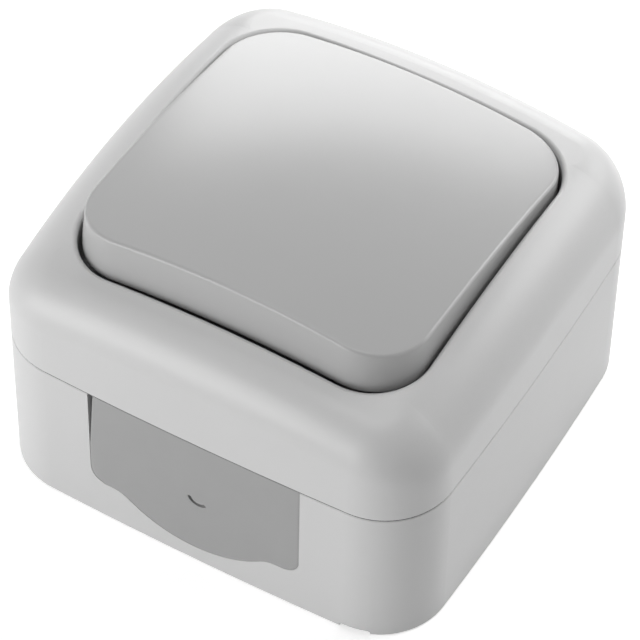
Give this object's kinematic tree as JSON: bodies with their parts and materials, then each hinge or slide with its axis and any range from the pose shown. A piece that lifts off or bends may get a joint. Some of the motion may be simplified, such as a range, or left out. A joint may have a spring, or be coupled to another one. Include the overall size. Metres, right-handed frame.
{
  "type": "surface-mounted weatherproof light switch",
  "caption": "Square light-grey surface-mounted weatherproof switch with a large domed rocker in a round-shouldered housing and a soft cable membrane in its lower wall.",
  "frame": {"origin": "centre of the housing at its back face, where it meets the wall", "axes": "+X right and +Y up as the switch hangs on the wall, +Z out of the wall towards the rocker"},
  "size_m": [0.068, 0.068, 0.0477],
  "materials": {
    "box_plastic": "fine satin, light grey",
    "cover_plastic": "fine satin, light grey",
    "key_plastic": "fine satin, light grey",
    "membrane_rubber": "soft matt, mid grey",
    "seal_rubber": "soft matt, dark grey",
    "mechanism_plastic": "moulded, white",
    "body_plastic": "moulded, dark grey",
    "plunger_plastic": "moulded, natural white",
    "spring_steel": "bright drawn wire",
    "contact_brass": "rolled strip",
    "contact_silver": "bright contact metal",
    "clamp_steel": "zinc plated",
    "screw_steel": "zinc plated"
  },
  "bodies": {
    "housing": {"back_box": "box_plastic", "front_cover": "cover_plastic", "cable_membrane": "membrane_rubber", "housing_gasket": "seal_rubber", "rocker_seal": "seal_rubber", "screw_seal_left": "seal_rubber", "screw_seal_right": "seal_rubber", "switch_body": "body_plastic", "switch_frame": "mechanism_plastic", "live_contact": "contact_silver", "common_terminal": "contact_brass", "live_terminal": "contact_brass", "terminal_clamp_live": "clamp_steel", "terminal_clamp_common": "clamp_steel", "live_terminal_screw": "screw_steel", "common_terminal_screw": "screw_steel", "cover_screw_left": "screw_steel", "cover_screw_right": "screw_steel", "frame_screw_left": "screw_steel", "frame_screw_right": "screw_steel"},
    "rocker": {"rocker_key": "key_plastic", "rocker_carrier": "mechanism_plastic", "plunger_spring": "spring_steel"},
    "plunger": {"plunger": "plunger_plastic"},
    "bridge": {"contact_bridge": "contact_brass", "bridge_contact": "contact_silver"}
  },
  "joints": [
    {"name": "rocker_hinge", "type": "hinge", "parent": "housing", "child": "rocker", "pos_m": [0, 0, 0.037], "axis": [1, 0, 0], "range_deg": [0, 11.6]},
    {"name": "plunger_slide", "type": "slide", "parent": "rocker", "child": "plunger", "axis": [0, 0.1011, 0.9949], "range_m": [0, 0.0012], "stiffness_N_per_m": 500, "springref_m": -0.002, "deforming": ["plunger_spring"]},
    {"name": "bridge_hinge", "type": "hinge", "parent": "housing", "child": "bridge", "pos_m": [0, 0, 0.01922], "axis": [1, 0, 0], "range_deg": [-12, 0]}
  ],
  "couplings": [
    {"joint": "bridge_hinge", "follows": "rocker_hinge", "ratio": -1.0345}
  ]
}
